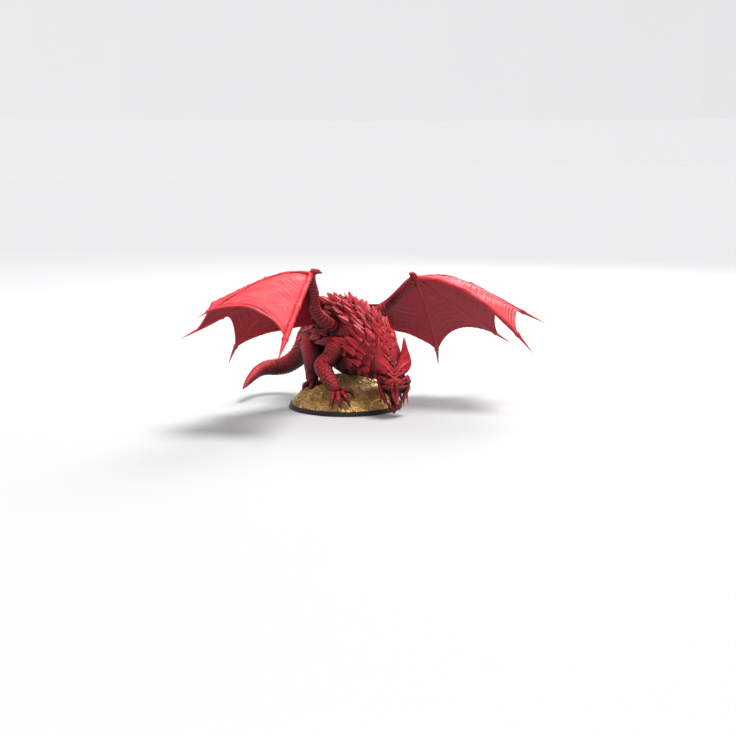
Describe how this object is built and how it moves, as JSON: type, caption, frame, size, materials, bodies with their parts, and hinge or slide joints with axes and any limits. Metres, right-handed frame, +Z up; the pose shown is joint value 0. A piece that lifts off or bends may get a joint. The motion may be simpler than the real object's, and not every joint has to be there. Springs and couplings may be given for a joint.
{
  "type": "dragon miniature",
  "caption": "Crouching winged dragon figure roaring over a mound of gold coins on a round tabletop base, with both wings push-fit into its back.",
  "frame": {"origin": "centre of the round base's underside, on the surface that it stands on", "axes": "+Z up; the dragon's body faces -Y, so its left wing is towards +X and its right wing towards -X"},
  "size_m": [0.3324, 0.2017, 0.1263],
  "materials": {
    "dragon_hide": "satin crimson, darker in the recesses and lighter on raised edges",
    "wing_web": "satin bright red with fine creases",
    "mouth_flesh": "satin red, darker than the hide",
    "hoard_gold": "metallic gold paint with a brown wash between the coins",
    "base_black": "matte black"
  },
  "bodies": {
    "figure": {"base_disc": "base_black", "hoard_mound": "hoard_gold", "torso": "dragon_hide", "neck": "dragon_hide", "head": "dragon_hide", "lower_jaw": "dragon_hide", "tongue": "mouth_flesh", "horn_right": "dragon_hide", "horn_left": "dragon_hide", "tail_base": "dragon_hide", "tail_tip": "dragon_hide", "foreleg_right": "dragon_hide", "foreleg_left": "dragon_hide", "hind_leg_right": "dragon_hide", "hind_leg_left": "dragon_hide"},
    "wing_right": {"wing_right_arm": "dragon_hide", "wing_right_thumb_claw": "dragon_hide", "wing_right_finger_1": "dragon_hide", "wing_right_finger_2": "dragon_hide", "wing_right_finger_3": "dragon_hide", "wing_right_finger_4": "dragon_hide", "wing_right_web_front": "wing_web", "wing_right_web_outer": "wing_web", "wing_right_web_rear": "wing_web", "wing_right_web_inner": "wing_web"},
    "wing_left": {"wing_left_arm": "dragon_hide", "wing_left_thumb_claw": "dragon_hide", "wing_left_finger_1": "dragon_hide", "wing_left_finger_2": "dragon_hide", "wing_left_finger_3": "dragon_hide", "wing_left_finger_4": "dragon_hide", "wing_left_web_front": "wing_web", "wing_left_web_outer": "wing_web", "wing_left_web_rear": "wing_web", "wing_left_web_inner": "wing_web"}
  },
  "joints": [
    {"name": "wing_right_fit", "type": "slide", "parent": "figure", "child": "wing_right", "axis": [-0.7996, -0.1999, 0.5663], "range_m": [0, 0.012]},
    {"name": "wing_left_fit", "type": "slide", "parent": "figure", "child": "wing_left", "axis": [0.8451, -0.1798, 0.5035], "range_m": [0, 0.012]}
  ]
}
